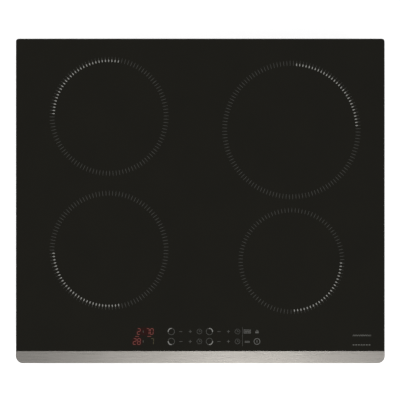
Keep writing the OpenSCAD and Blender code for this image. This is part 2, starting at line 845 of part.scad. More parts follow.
// Housing with an inlet in its floor, the motor under its lid and its outlet at the heatsink
module fan_housing(left) {
    height = fan_top_z - fan_low_z;
    color("#2d2e31") mirrored_if(left) translate([fan_xy.x, fan_xy.y, fan_low_z]) difference() {
        linear_extrude(height) fan_plan(0);
        translate([0, 0, fan_floor_t]) linear_extrude(height - fan_floor_t - fan_wall) {
            fan_plan(fan_wall);
            translate([fan_scroll_r - fan_duct_w + fan_wall, fan_duct_y - 1])
                square([fan_duct_w - 2 * fan_wall, 10]);
        }
        translate([0, 0, -1]) cylinder(r = fan_inlet_r, h = fan_floor_t + 2);
    }
}

// Stator under the lid, with the bearing bore for the shaft
module fan_motor(left) {
    color("#5b4a32") mirrored_if(left) translate([fan_xy.x, fan_xy.y, fan_lid_z - motor_t]) difference() {
        cylinder(r = motor_r, h = motor_t);
        translate([0, 0, -1]) cylinder(r = shaft_r + shaft_gap, h = motor_t);
    }
}

// Cup round the stator, shaft, disc, lower ring and blades
module impeller(left) {
    blade_h = impeller_high_z - impeller_low_z - 1;
    color("#3c3e43") mirrored_if(left) translate([fan_xy.x, fan_xy.y, 0]) {
        difference() {
            translate([0, 0, cup_low_z]) cylinder(r = cup_r, h = impeller_high_z - cup_low_z);
            translate([0, 0, cup_low_z + cup_wall]) cylinder(r = cup_r - cup_wall, h = 20);
        }
        translate([0, 0, cup_low_z + 1]) cylinder(r = shaft_r, h = impeller_high_z - cup_low_z - 2);
        translate([0, 0, impeller_high_z - impeller_disc_t]) linear_extrude(impeller_disc_t)
            ring(cup_r - 0.5, impeller_r);
        translate([0, 0, impeller_low_z]) linear_extrude(impeller_disc_t) ring(impeller_r - 2.5, impeller_r);
        for (i = [0 : blade_count - 1]) rotate(i * 360 / blade_count)
            translate([impeller_eye_r + 0.6, 0, impeller_low_z + 0.4]) rotate(18)
                cube([impeller_r - impeller_eye_r - 1.2, 0.9, blade_h]);
    }
}

// ---------------------------------------------------------------- mains side

module filter_board() {
    color("#356b45") pegged_board(filter_x, filter_y, filter_posts_at);
}

module filter_components() {
    color("#3f6ea8") {
        translate([190, 114, board_top_z]) choke(17, 12);
        translate([188, 144, board_top_z]) choke(11, 9);
        for (y = [99, 117]) part_box([214, y], [28, 14, 17]);
        part_box([214, 136], [24, 9, 10]);
    }
}

// Moulded bay that drops through the floor
module terminal_box() {
    flange_z = floor_z;
    slot_high_z = flange_z + 3;
    color("#26272a") difference() {
        union() {
            span([bay_x[0], bay_y[0], bay_low_z], [bay_x[1], bay_y[1], bay_ceiling_z + bay_wall]);
            span([bay_x[0] - 4, bay_flange_y, flange_z],
                [bay_x[1] + 4, wall_y - 0.3, flange_z + bay_flange_t]);
            for (x = ears_x) {
                translate([x, hinge_y, hinge_z]) rotate([0, 90, 0]) cylinder(r = ear_r, h = ear_w);
                span([x, hinge_y, hinge_z - 0.4], [x + ear_w, bay_y[0] + eps, hinge_z + ear_r]);
            }
        }
        span([bay_x[0] + bay_wall, bay_y[0] + bay_wall, bay_low_z - 5],
            [bay_x[1] - bay_wall, bay_y[1] - bay_wall, bay_ceiling_z]);
        // room for the cover's hinge arms
        for (x = [[hinge_slot_x[0], ears_x[0]], [ears_x[0] + ear_w, ears_x[1]],
            [ears_x[1] + ear_w, hinge_slot_x[1]]])
            span([x[0], hinge_y - 4.5, flange_z - 1], [x[1], bay_y[0], slot_high_z]);
        span([hinge_slot_x[0], hinge_y - 4.5, flange_z - 1], [hinge_slot_x[1], hinge_y - ear_r, slot_high_z]);
        translate([bay_x[0], hinge_y, hinge_z]) rotate([0, 90, 0])
            cylinder(r = hinge_pin_r + hinge_gap, h = bay_x[1] - bay_x[0]);
        translate([gland_x, bay_y[1] - 5, gland_z]) rotate([-90, 0, 0]) cylinder(r = gland_r + 0.1, h = 8);
        // window for the mains leads
        span([202, bay_y[0] - 1, -38], [246, bay_y[0] + 4, -30]);
    }
}

// Insulating block with one screw well for each pole
module terminal_block() {
    color("#d9d6cc") difference() {
        span([pole_x - 7, block_y[0], block_low_z],
            [pole_x + pole_count * pole_pitch - 6, block_y[1], bay_ceiling_z - 0.1]);
        for (i = [0 : pole_count - 1]) translate([pole_x + i * pole_pitch, 0, 0]) {
            translate([0, pole_y, block_low_z - 1]) cylinder(r = 3.6, h = 6);
            translate([0, pole_y, block_low_z + 4]) cylinder(r = 2 + screw_gap, h = 6);
            // channel that a conductor lies in
            span([-4.5, block_y[1] - 12, block_low_z - 1], [4.5, block_y[1] + 1, block_low_z + 2]);
        }
    }
}

module terminal_screws() {
    color("#b79a4b") for (i = [0 : pole_count - 1])
        translate([pole_x + i * pole_pitch, pole_y, block_low_z + 5]) rotate([180, 0, 0])
            screw(2, 4.5, 3.4, 2);
}

// Hollow nipple with a flange outside the casing and a nut inside the bay
module cable_gland() {
    inner_y = bay_y[1] - bay_wall;
    nut_t = 4;
    tube_y = inner_y - nut_t - 1;
    color("#202124") translate([gland_x, 0, gland_z]) rotate([-90, 0, 0]) difference() {
        union() {
            translate([0, 0, tube_y]) cylinder(r = gland_r, h = casing_d / 2 + gland_flange_t - tube_y);
            translate([0, 0, casing_d / 2]) cylinder(r = gland_flange_r, h = gland_flange_t);
            translate([0, 0, inner_y - nut_t]) cylinder(r = 11.5, h = nut_t, $fn = 6);
        }
        translate([0, 0, tube_y - 1]) cylinder(r = gland_bore_r, h = 20);
    }
}

// Flap that closes the bay from below, with two pin stubs along its front edge
module terminal_cover() {
    high = floor_under_z;
    low = high - cover_t;
    rear = bay_y[1] - 0.5;
    stub_l = 7.5;
    tongue_l = 8;
    color("#2c2d30") {
        difference() {
            span([bay_x[0] + 0.6, bay_y[0] + 0.8, low], [bay_x[1] - 0.6, rear, high]);
            // finger notch in the rear edge
            translate([(bay_x[0] + bay_x[1]) / 2, rear + 5, low - 1]) cylinder(r = 9, h = cover_t + 2);
        }
        for (arm = arms_x) {
            translate([arm[0], hinge_y, hinge_z]) rotate([0, 90, 0]) cylinder(r = arm_r, h = arm[1] - arm[0]);
            span([arm[0], hinge_y, low], [arm[1], bay_y[0] + 1, high]);
        }
        for (x = [arms_x[0][0], arms_x[1][1] - stub_l])
            translate([x, hinge_y, hinge_z]) rotate([0, 90, 0]) cylinder(r = hinge_pin_r, h = stub_l);
        // snap tongues inside the bay's rear wall
        for (x = [192, 252]) span([x, rear - 3.2, high - eps], [x + tongue_l, rear - 2, high + 4]);
    }
}

// ---------------------------------------------------------------- nodes

glass_top();
front_trim();
trim_carrier();
worktop_seal();
glass_brackets();
glass_adhesive();
casing();
rim_screws();
retaining_springs();
coil_plate(true);  // coil_plate_left
coil_plate(false);  // coil_plate_right
plate_pillars();
plate_screws();
for (zone = zones) {
    winding(zone);
    former(zone);
    ferrites(zone);
    insulation(zone);
}
temperature_sensors();
coil_springs();
coil_leads();
thin_leads();
mains_leads();
control_carrier();
control_board();
display_modules();
touch_pads();
ribbon_cable();
for (side = [["left", true], ["right", false]]) {
    power_board(side[1]);
    heatsink(side[1]);
    power_components(side[1]);
    fan_housing(side[1]);
    fan_motor(side[1]);
    impeller(side[1]);
}
board_posts();
filter_board();
filter_components();
terminal_box();
terminal_block();
terminal_screws();
cable_gland();
terminal_cover();
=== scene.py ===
"""Induction hob: materials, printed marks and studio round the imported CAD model, in metres."""

import json
import math

import bmesh
import bpy
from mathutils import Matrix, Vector


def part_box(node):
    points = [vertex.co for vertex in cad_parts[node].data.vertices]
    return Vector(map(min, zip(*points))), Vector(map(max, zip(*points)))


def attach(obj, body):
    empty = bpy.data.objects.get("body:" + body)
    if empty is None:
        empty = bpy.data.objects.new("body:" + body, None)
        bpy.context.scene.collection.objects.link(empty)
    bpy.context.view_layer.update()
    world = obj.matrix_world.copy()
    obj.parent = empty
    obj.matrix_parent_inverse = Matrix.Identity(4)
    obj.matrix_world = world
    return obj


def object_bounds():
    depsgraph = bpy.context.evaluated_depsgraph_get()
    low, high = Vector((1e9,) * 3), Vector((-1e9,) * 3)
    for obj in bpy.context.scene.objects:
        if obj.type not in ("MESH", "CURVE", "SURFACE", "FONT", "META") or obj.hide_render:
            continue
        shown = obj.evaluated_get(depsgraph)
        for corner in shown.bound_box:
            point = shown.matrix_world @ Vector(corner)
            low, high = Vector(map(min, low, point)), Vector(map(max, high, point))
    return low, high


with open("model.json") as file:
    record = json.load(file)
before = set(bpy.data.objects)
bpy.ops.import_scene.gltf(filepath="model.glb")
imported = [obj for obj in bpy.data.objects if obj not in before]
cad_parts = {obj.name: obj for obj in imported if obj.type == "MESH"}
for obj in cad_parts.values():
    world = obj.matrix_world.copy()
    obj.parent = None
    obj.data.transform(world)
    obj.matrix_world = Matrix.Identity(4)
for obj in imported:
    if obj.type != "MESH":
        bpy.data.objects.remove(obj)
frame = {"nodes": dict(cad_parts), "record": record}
CAD_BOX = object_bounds()
MM = 0.001
# right, rear and top of the glass and of the trim
GLASS_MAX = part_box("glass_top")[1]
TRIM_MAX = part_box("front_trim")[1]


# ---------------------------------------------------------------- studio

FLOOR_SIZE = 40.0
FLOOR_GLOW = 0.73
FLOOR_GREYS = (0.80, 0.83)

CAMERA_LENS = 120.0
# height above the glass, and place over the hob
CAMERA_HEIGHT = 2.107
CAMERA_X = -0.00045
CAMERA_Y = 0.00137

WARM = (1.0, 0.985, 0.95)
NEUTRAL = (1.0, 1.0, 1.0)
# name: place, size along X and Y, power, colour
LIGHTS = {
    "strip_front": ((0.115, -0.92, 2.10), (0.46, 0.50), 3.50, WARM),
    "wash_front": ((0.12, -1.02, 2.10), (1.20, 0.55), 2.05, WARM),
    "fill_left": ((-1.75, -0.70, 1.30), (1.00, 1.00), 8.0, NEUTRAL),
    "key_right": ((1.70, -1.25, 1.35), (0.90, 0.90), 11.0, NEUTRAL),
    "rear_left": ((-1.20, 1.55, 1.30), (1.00, 1.00), 10.0, NEUTRAL),
}
LIGHT_TARGET = Vector((0.0, 0.0, 0.0))
# only these show in polished surfaces, as the grey run of light along the front trim
MIRRORED_LIGHTS = ("strip_front", "wash_front")

# sky brightness by the sine of the elevation
SKY_STOPS = [(0.00, 0.95), (0.10, 0.93), (0.22, 0.55), (0.45, 0.34), (0.80, 0.22), (1.00, 0.19)]
# how fast the sky brightens towards +X and -Y
SKY_SLOPE = (0.10, -0.08, 0.0)


def make_camera():
    """Straight above the hob, with a long lens."""
    data = bpy.data.cameras.new("camera")
    data.lens = CAMERA_LENS
    data.clip_start = 0.05
    data.clip_end = 100.0
    camera = bpy.data.objects.new("camera", data)
    camera.location = (CAMERA_X, CAMERA_Y, GLASS_MAX.z + CAMERA_HEIGHT)
    bpy.context.scene.collection.objects.link(camera)
    bpy.context.scene.camera = camera


def make_light(name, place, size, power, color):
    """A soft rectangular lamp turned to the hob."""
    data = bpy.data.lights.new(name, "AREA")
    data.shape = "RECTANGLE"
    data.size, data.size_y = size
    data.energy = power
    data.color = color
    light = bpy.data.objects.new(name, data)
    light.location = place
    light.rotation_mode = "QUATERNION"
    light.rotation_quaternion = (LIGHT_TARGET - light.location).to_track_quat("-Z", "Y")
    light.visible_camera = False
    light.visible_glossy = name in MIRRORED_LIGHTS
    bpy.context.scene.collection.objects.link(light)


def make_sky():
    """Pale at the horizon and dim overhead, a little brighter at the front right."""
    world = bpy.data.worlds.new("studio")
    world.use_nodes = True
    tree = world.node_tree
    tree.nodes.clear()
    direction = tree.nodes.new("ShaderNodeTexCoord").outputs["Generated"]
    elevation = tree.nodes.new("ShaderNodeSeparateXYZ")
    ramp = tree.nodes.new("ShaderNodeValToRGB")
    fill_ramp(ramp, greys(SKY_STOPS))
    slope = tree.nodes.new("ShaderNodeVectorMath")
    slope.operation = "DOT_PRODUCT"
    slope.inputs[1].default_value = SKY_SLOPE
    strength = tree.nodes.new("ShaderNodeMath")
    strength.operation = "ADD"
    strength.inputs[1].default_value = 1.0
    background = tree.nodes.new("ShaderNodeBackground")
    output = tree.nodes.new("ShaderNodeOutputWorld")
    tree.links.new(direction, elevation.inputs[0])
    tree.links.new(elevation.outputs["Z"], ramp.inputs[0])
    tree.links.new(ramp.outputs[0], background.inputs["Color"])
    tree.links.new(direction, slope.inputs[0])
    tree.links.new(slope.outputs["Value"], strength.inputs[0])
    tree.links.new(strength.outputs[0], background.inputs["Strength"])
    tree.links.new(background.outputs[0], output.inputs["Surface"])
    bpy.context.scene.world = world


def make_floor():
    """A pale floor that glows a little, level with the underside of the casing."""
    half = FLOOR_SIZE / 2
    z = CAD_BOX[0].z
    mesh = bpy.data.meshes.new("floor")
    corners = [(-half, -half, z), (half, -half, z), (half, half, z), (-half, half, z)]
    mesh.from_pydata(corners, [], [(0, 1, 2, 3)])
    floor = bpy.data.objects.new("floor", mesh)
    bpy.context.scene.collection.objects.link(floor)
    look = Look("floor", roughness=0.8)
    dark, light = FLOOR_GREYS
    look.color(look.noise(3.0, detail=2), greys([(0.3, dark), (0.7, light)]))
    look.shader.inputs["Emission Color"].default_value = (*NEUTRAL, 1.0)
    look.shader.inputs["Emission Strength"].default_value = FLOOR_GLOW
    mesh.materials.append(look.material)


# ---------------------------------------------------------------- material kit

# the colour sockets of Blender's Mix node
MIX_FIRST = 6
MIX_SECOND = 7
MIX_RESULT = 2


def shade(rgb, factor):
    """The same colour, darker or lighter."""
    return tuple(min(channel * factor, 1.0) for channel in rgb)


def spread(base, amount):
    """Ramp stops from a darker to a lighter shade of one colour."""
    return [(0.3, shade(base, 1.0 - amount)), (0.7, shade(base, 1.0 + amount))]


def greys(stops):
    """Colour stops from (place, level) pairs."""
    return [(at, (level, level, level)) for at, level in stops]


def fill_ramp(node, stops):
    """Sets a colour ramp's stops from (place, (r, g, b)) pairs."""
    points = node.color_ramp.elements
    while len(points) > 1:
        points.remove(points[-1])
    for index, (at, rgb) in enumerate(stops):
        point = points[0] if index == 0 else points.new(at)
        point.position = at
        point.color = (*rgb, 1.0)


class Look:
    """One procedural material round a Principled shader, with object coordinates in metres."""

    def __init__(self, name, base=(0.5, 0.5, 0.5), roughness=0.5, metallic=0.0, ior=1.5):
        self.material = bpy.data.materials.new(name)
        self.material.use_nodes = True
        self.tree = self.material.node_tree
        self.shader = self.tree.nodes["Principled BSDF"]
        self.shader.inputs["Base Color"].default_value = (*base, 1.0)
        self.shader.inputs["Roughness"].default_value = roughness
        self.shader.inputs["Metallic"].default_value = metallic
        self.shader.inputs["IOR"].default_value = ior
        self.coords = self.node("TexCoord").outputs["Object"]
        self.bumps = None

    def node(self, kind, **values):
        """A new shader node with some of its properties set."""
        made = self.tree.nodes.new("ShaderNode" + kind)
        for key, value in values.items():
            setattr(made, key, value)
        return made

    def link(self, source, target):
        self.tree.links.new(source, target)

    # patterns over the surface

    def stretched(self, scale, shift=(0.0, 0.0, 0.0)):
        """Coordinates scaled along each axis, then moved."""
        mapping = self.node("Mapping")
        mapping.inputs["Scale"].default_value = scale
        mapping.inputs["Location"].default_value = shift
        self.link(self.coords, mapping.inputs["Vector"])
        return mapping.outputs[0]

    def noise(self, scale, detail=3.0, rough=0.5, where=None):
        """Cloudy noise from 0 to 1, with scale in waves a metre."""
        made = self.node("TexNoise")
        made.inputs["Scale"].default_value = scale
        made.inputs["Detail"].default_value = detail
        made.inputs["Roughness"].default_value = rough
        self.link(where or self.coords, made.inputs["Vector"])
        return made.outputs[0]

    def cells(self, scale, output="Distance", feature="F1", randomness=1.0):
        """Crystals, pores or dots, with scale in cells a metre."""
        made = self.node("TexVoronoi", feature=feature)
        made.inputs["Scale"].default_value = scale
        made.inputs["Randomness"].default_value = randomness
        self.link(self.coords, made.inputs["Vector"])
        return made.outputs[output]

    def facing_up(self):
        """1 on level faces, less on bevels and walls, from the surface's own direction."""
        surface = self.node("NewGeometry").outputs["Normal"]
        return self.math("ABSOLUTE", self.axis("Z", surface))

    # sums and ramps

    def math(self, operation, first, second=0.0):
        made = self.node("Math", operation=operation)
        for socket, value in zip(made.inputs, (first, second)):
            if isinstance(value, (int, float)):
                socket.default_value = value
            else:
                self.link(value, socket)
        return made.outputs[0]

    def axis(self, letter, vector):
        """One part of a vector or a colour."""
        split = self.node("SeparateXYZ")
        self.link(vector, split.inputs[0])
        return split.outputs[letter]

    def ramp(self, value, stops):
        made = self.node("ValToRGB")
        fill_ramp(made, stops)
        self.link(value, made.inputs[0])
        return made.outputs[0]

    def levels(self, value, stops):
        return self.ramp(value, greys(stops))

    def mix(self, factor, first, second):
        """Two colours, each a tuple or a socket, mixed by a varying factor."""
        made = self.node("Mix", data_type="RGBA")
        self.link(factor, made.inputs["Factor"])
        for index, value in ((MIX_FIRST, first), (MIX_SECOND, second)):
            if isinstance(value, tuple):
                made.inputs[index].default_value = (*value, 1.0)
            else:
                self.link(value, made.inputs[index])
        return made.outputs[MIX_RESULT]

    # results on the shader

    def color(self, value, stops):
        self.link(self.ramp(value, stops), self.shader.inputs["Base Color"])

    def roughness(self, value, stops):
        self.link(self.levels(value, stops), self.shader.inputs["Roughness"])

    def bump(self, height, depth):
        """Relief of a depth in metres, on top of any relief already made."""
        made = self.node("Bump")
        made.inputs["Distance"].default_value = depth
        made.inputs["Strength"].default_value = 1.0
        self.link(height, made.inputs["Height"])
        if self.bumps is not None:
            self.link(self.bumps, made.inputs["Normal"])
        self.bumps = made.outputs[0]
        self.link(self.bumps, self.shader.inputs["Normal"])


# ---------------------------------------------------------------- materials: rim


def black_glass(name):
    """Polished glass-ceramic, black all through, with a ground and frosted edge."""
    look = Look(name, ior=1.52)
    clouds = look.noise(14.0, detail=5)
    body = look.ramp(clouds, [(0.3, (0.0071, 0.0063, 0.0028)), (0.7, (0.0086, 0.0076, 0.0035))])
    flecks = look.levels(look.cells(900.0), [(0.0, 1.0), (0.12, 0.0)])
    look.link(look.mix(flecks, body, (0.009, 0.008, 0.006)), look.shader.inputs["Base Color"])
    polish = look.levels(clouds, [(0.3, 0.02), (0.75, 0.05)])
    ground = look.levels(look.facing_up(), [(0.90, 1.0), (0.995, 0.0)])
    look.link(look.mix(ground, polish, (0.55, 0.55, 0.55)), look.shader.inputs["Roughness"])
    look.bump(look.noise(40.0, detail=1), 0.000004)
    return look.material


def brushed_metal(name, base, rough, grain_along="X", line=0.00035):
    """Metal brushed along one axis, with lines of a given width."""
    look = Look(name, base, rough, metallic=1.0)
    across = 1.0 / line
    along = 14.0
    scale = (along, across, across) if grain_along == "X" else (across, along, across)
    lines = look.noise(1.0, detail=3, rough=0.6, where=look.stretched(scale))
    patches = look.noise(9.0, detail=2)
    tone = look.math("ADD", look.math("MULTIPLY", lines, 0.6), look.math("MULTIPLY", patches, 0.4))
    look.color(tone, spread(base, 0.12))
    look.roughness(lines, [(0.2, rough - 0.07), (0.8, rough + 0.08)])
    look.bump(lines, 0.00002)
    return look.material


def moulded(name, base, rough=0.5, grain=0.0006, depth=0.00002, vary=0.10):
    """Moulded plastic: fine pits of one grain size, and slow flow marks."""
    look = Look(name, base, rough)
    flow = look.noise(22.0, detail=4)
    pits = look.noise(1.0 / grain, detail=2, rough=0.6)
    look.color(flow, spread(base, vary))
    look.roughness(pits, [(0.25, rough - 0.06), (0.75, rough + 0.08)])
    look.bump(pits, depth)
    return look.material


def foam(name, base):
    """Closed-cell foam: pores under 1 mm across, darkened inside with painted shade."""
    look = Look(name, base, 0.92)
    pores = look.cells(1400.0)
    # painted shade: the colour darkens towards the middle of each pore, where the bump is deepest
    look.color(pores, [(0.0, shade(base, 0.35)), (0.5, shade(base, 1.4))])
    look.bump(pores, 0.00012)
    return look.material


def silicone(name, base):
    """A smooth bead of sealant that swells and thins."""
    look = Look(name, base, 0.38)
    swell = look.noise(160.0, detail=2)
    look.color(swell, spread(base, 0.2))
    look.roughness(swell, [(0.3, 0.30), (0.7, 0.46)])
    look.bump(swell, 0.0002)
    return look.material


# ---------------------------------------------------------------- materials: sheet metal


def galvanised(name, base):
    """Zinc-coated sheet: crystals of about 4 mm, a fine frost and a slow waviness."""
    look = Look(name, base, 0.4, metallic=0.92)
    crystals = 270.0
    tone = look.axis("X", look.cells(crystals, output="Color"))
    frost = look.noise(700.0, detail=3)
    mixed = look.math("ADD", look.math("MULTIPLY", tone, 0.7), look.math("MULTIPLY", frost, 0.3))
    look.color(mixed, [(0.15, shade(base, 0.86)), (0.85, shade(base, 1.14))])
    look.roughness(mixed, [(0.1, 0.30), (0.9, 0.50)])
    look.bump(look.cells(crystals, feature="DISTANCE_TO_EDGE"), 0.00001)
    look.bump(look.noise(18.0, detail=1), 0.0001)
    return look.material


def plated(name, base, rough=0.3):
    """Plated metal with a faint bloom."""
    look = Look(name, base, rough, metallic=1.0)
    bloom = look.noise(260.0, detail=4)
    look.color(bloom, [(0.3, shade(base, 0.82)), (0.55, base), (0.75, shade(base, 1.15))])
    look.roughness(bloom, [(0.3, rough + 0.14), (0.7, rough - 0.04)])
    look.bump(look.noise(1600.0, detail=2), 0.00001)
    return look.material


def tempered(name, base):
    """Spring steel: rolling lines, and heat tints from straw to blue."""
    look = Look(name, base, 0.34, metallic=1.0)
    red, green, blue = base
    straw_tint = (red * 1.08, green, blue * 0.88)
    blue_tint = (red * 0.86, green * 0.95, blue * 1.12)
    look.color(look.noise(60.0, detail=4), [(0.3, straw_tint), (0.5, base), (0.7, blue_tint)])
    rolled = look.noise(1.0, detail=2, where=look.stretched((2200.0, 2200.0, 30.0)))
    look.roughness(rolled, [(0.2, 0.26), (0.8, 0.42)])
    look.bump(rolled, 0.000012)
    return look.material


# ---------------------------------------------------------------- materials: coils

TURN_PITCH = 0.0022
TWISTS_A_TURN = 46.0


def winding(name, centre):
    """Lacquered strand wound in a flat spiral: grooves at the turns' pitch, darkened there with painted
    shade, and a finer twist.
    """
    look = Look(name, (0.55, 0.22, 0.10), 0.34, metallic=0.85)
    moved = look.stretched((1.0, 1.0, 1.0), (-centre.x, -centre.y, 0.0))
    x = look.axis("X", moved)
    y = look.axis("Y", moved)
    square = look.math("ADD", look.math("MULTIPLY", x, x), look.math("MULTIPLY", y, y))
    radius = look.math("SQRT", square)
    angle = look.math("ARCTAN2", y, x)
    whole_turns = look.math("DIVIDE", radius, TURN_PITCH)
    turns = look.math("ADD", whole_turns, look.math("DIVIDE", angle, math.tau))
    groove_and_shade = look.math("PINGPONG", turns, 0.5)
    along = look.math("MULTIPLY", angle, TWISTS_A_TURN)
    twist = look.math("SINE", look.math("ADD", along, look.math("MULTIPLY", turns, math.tau * 2)))
    # painted shade: the colour darkens to near black in the grooves between the turns
    look.color(groove_and_shade, [(0.0, (0.16, 0.05, 0.02)), (0.16, (0.42, 0.16, 0.07)), (0.5, (0.66, 0.28, 0.13))])
    look.bump(groove_and_shade, 0.0008)
    look.bump(twist, 0.0001)
    return look.material


def sintered(name, base):
    """Pressed ferrite: fine grains and a dusty skin."""
    look = Look(name, base, 0.62)
    grains = look.cells(2400.0)
    dust = look.noise(90.0, detail=4)
    look.color(dust, [(0.3, shade(base, 0.7)), (0.7, shade(base, 1.6))])
    look.roughness(grains, [(0.0, 0.5), (0.7, 0.75)])
    look.bump(grains, 0.00004)
    return look.material


def mica_sheet(name, base):
    """Pressed mica: overlapping flakes of about 5 mm."""
    look = Look(name, base, 0.45)
    tone = look.axis("Y", look.cells(220.0, output="Color"))
    look.color(tone, [(0.1, shade(base, 0.72)), (0.6, base), (0.95, shade(base, 1.35))])
    look.roughness(tone, [(0.1, 0.32), (0.9, 0.58)])
    look.bump(tone, 0.00003)
    return look.material


def sleeved(name, base, knit=0.0):
    """Wire insulation: smooth, or a knitted sleeve with so many stitches a metre."""
    look = Look(name, base, 0.42)
    mottle = look.noise(420.0, detail=3)
    look.color(mottle, spread(base, 0.22))
    look.roughness(mottle, [(0.3, 0.34), (0.7, 0.5)])
    look.bump(look.cells(knit) if knit else mottle, 0.00006)
    return look.material


# ---------------------------------------------------------------- materials: electronics


def circuit_board(name, base):
    """Solder mask over copper tracks, with tinned pads and a dusty finish."""
    look = Look(name, base, 0.33)
    gaps = look.cells(130.0, feature="DISTANCE_TO_EDGE", randomness=0.55)
    tracks = look.levels(gaps, [(0.05, 1.0), (0.09, 0.0)])
    mask = look.ramp(look.noise(40.0), spread(base, 0.25))
    traced = look.mix(tracks, mask, shade(base, 1.9))
    pads = look.levels(look.cells(260.0, randomness=0.6), [(0.10, 1.0), (0.13, 0.0)])
    look.link(look.mix(pads, traced, (0.62, 0.62, 0.58)), look.shader.inputs["Base Color"])
    look.bump(tracks, 0.00003)
    look.bump(pads, 0.0001)
    return look.material


def moulded_case(name, wall, cap):
    """Moulded component cases: walls of one colour, and paler level faces where the filling shows."""
    look = Look(name, wall, 0.45)
    clouds = look.noise(300.0)
    level = look.levels(look.facing_up(), [(0.90, 0.0), (0.96, 1.0)])
    walls = look.ramp(clouds, spread(wall, 0.18))
    caps = look.ramp(clouds, spread(cap, 0.12))
    look.link(look.mix(level, walls, caps), look.shader.inputs["Base Color"])
    grain = 2500.0
    look.roughness(look.noise(grain), [(0.3, 0.36), (0.7, 0.55)])
    look.bump(look.noise(grain, detail=2), 0.00002)
    return look.material


def ribbon(name, base):
    """Flat cable: parallel cores along Y, with painted shade between them and a painted highlight along
    their crowns.
    """
    look = Look(name, base, 0.5)
    cores = look.node("TexWave", bands_direction="X")
    cores.inputs["Scale"].default_value = 125.0
    cores.inputs["Distortion"].default_value = 0.0
    look.link(look.coords, cores.inputs["Vector"])
    height = cores.outputs["Fac"]
    # painted shade in the valleys between the cores and a painted highlight on their crowns
    look.color(height, [(0.0, shade(base, 0.6)), (0.4, base), (1.0, shade(base, 1.2))])
    look.bump(height, 0.0003)
    return look.material


# ---------------------------------------------------------------- materials for the nodes

# the record's slot: the function that makes it, and its facts; windings have one each instead
SLOT_LOOKS = {
    "black_glass": (black_glass,),
    "trim_steel": (brushed_metal, (0.60, 0.575, 0.545), 0.30),
    "dark_plastic": (moulded, (0.028, 0.028, 0.032), 0.5),
    "seal_foam": (foam, (0.022, 0.022, 0.022)),
    "adhesive": (silicone, (0.02, 0.02, 0.02)),
    "galvanised_sheet": (galvanised, (0.33, 0.342, 0.352)),
    "zinc_steel": (plated, (0.62, 0.62, 0.60)),
    "spring_steel": (tempered, (0.36, 0.365, 0.38)),
    "aluminium_sheet": (brushed_metal, (0.74, 0.745, 0.755), 0.34, "Y", 0.0006),
    "former_plastic": (moulded, (0.66, 0.62, 0.53), 0.55, 0.0009, 0.00004),
    "ferrite": (sintered, (0.036, 0.034, 0.039)),
    "mica": (mica_sheet, (0.55, 0.47, 0.33)),
    "sensor_ceramic": (moulded, (0.80, 0.78, 0.73), 0.72, 0.0003, 0.00002, 0.05),
    "coil_wire": (sleeved, (0.28, 0.055, 0.035), 1500.0),
    "thin_wire": (sleeved, (0.05, 0.09, 0.30)),
    "mains_wire": (sleeved, (0.24, 0.09, 0.035)),
    "carrier_plastic": (moulded, (0.74, 0.73, 0.69), 0.48, 0.0010, 0.00002, 0.05),
    "board_green": (circuit_board, (0.03, 0.15, 0.06)),
    "display_black": (moulded, (0.012, 0.012, 0.014), 0.14, 0.002, 0.000004),
    "pad_rubber": (foam, (0.25, 0.26, 0.28)),
    "ribbon_grey": (ribbon, (0.36, 0.38, 0.40)),
    "component_dark": (moulded_case, (0.036, 0.038, 0.043), (0.12, 0.12, 0.125)),
    "filter_blue": (moulded_case, (0.045, 0.14, 0.34), (0.10, 0.21, 0.42)),
    "post_nylon": (moulded, (0.86, 0.85, 0.79), 0.42, 0.0008, 0.00001, 0.04),
    "fan_plastic": (moulded, (0.032, 0.032, 0.036), 0.40, 0.0005, 0.00001),
    "motor_steel": (plated, (0.26, 0.20, 0.14), 0.36),
    "bay_plastic": (moulded, (0.024, 0.024, 0.027), 0.46),
    "block_plastic": (moulded, (0.68, 0.66, 0.58), 0.42, 0.0007, 0.00002, 0.06),
    "terminal_brass": (plated, (0.60, 0.42, 0.17), 0.26),
}
WINDING_SLOT = "copper"


def paint_nodes():
    """Gives every CAD node the material of its slot in the record."""
    materials = {slot: make(slot, *facts) for slot, (make, *facts) in SLOT_LOOKS.items()}
    for row in frame["record"]["subparts"]:
        name = row["node"]
        slot = row["material_slot"]
        if slot == WINDING_SLOT:
            low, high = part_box(name)
            chosen = winding("copper_" + name, (low + high) / 2)
        else:
            chosen = materials[slot]
        painted = frame["nodes"][name].data.materials
        painted.clear()
        painted.append(chosen)


# ---------------------------------------------------------------- print on the glass

# height of the underside and thickness of a print, and of the smoked window under it
PRINT_LIFT = 0.012 * MM
PRINT_FILM = 0.006 * MM
WINDOW_LIFT = 0.003 * MM
WINDOW_FILM = 0.005 * MM

# degrees between the points of an arc
ARC_STEP = 9.0
# a mitred corner reaches no further than the half width divided by this
LEAST_MITRE = 0.4


def polar(centre, radius, angle):
    """A point at a radius and an angle in radians from a centre."""
    return (centre[0] + radius * math.cos(angle), centre[1] + radius * math.sin(angle))


def face_outwards(mesh):
    """Turns every face of closed shapes outwards."""
    work = bmesh.new()
    work.from_mesh(mesh)
    bmesh.ops.recalc_face_normals(work, faces=work.faces)
    work.to_mesh(mesh)
    work.free()


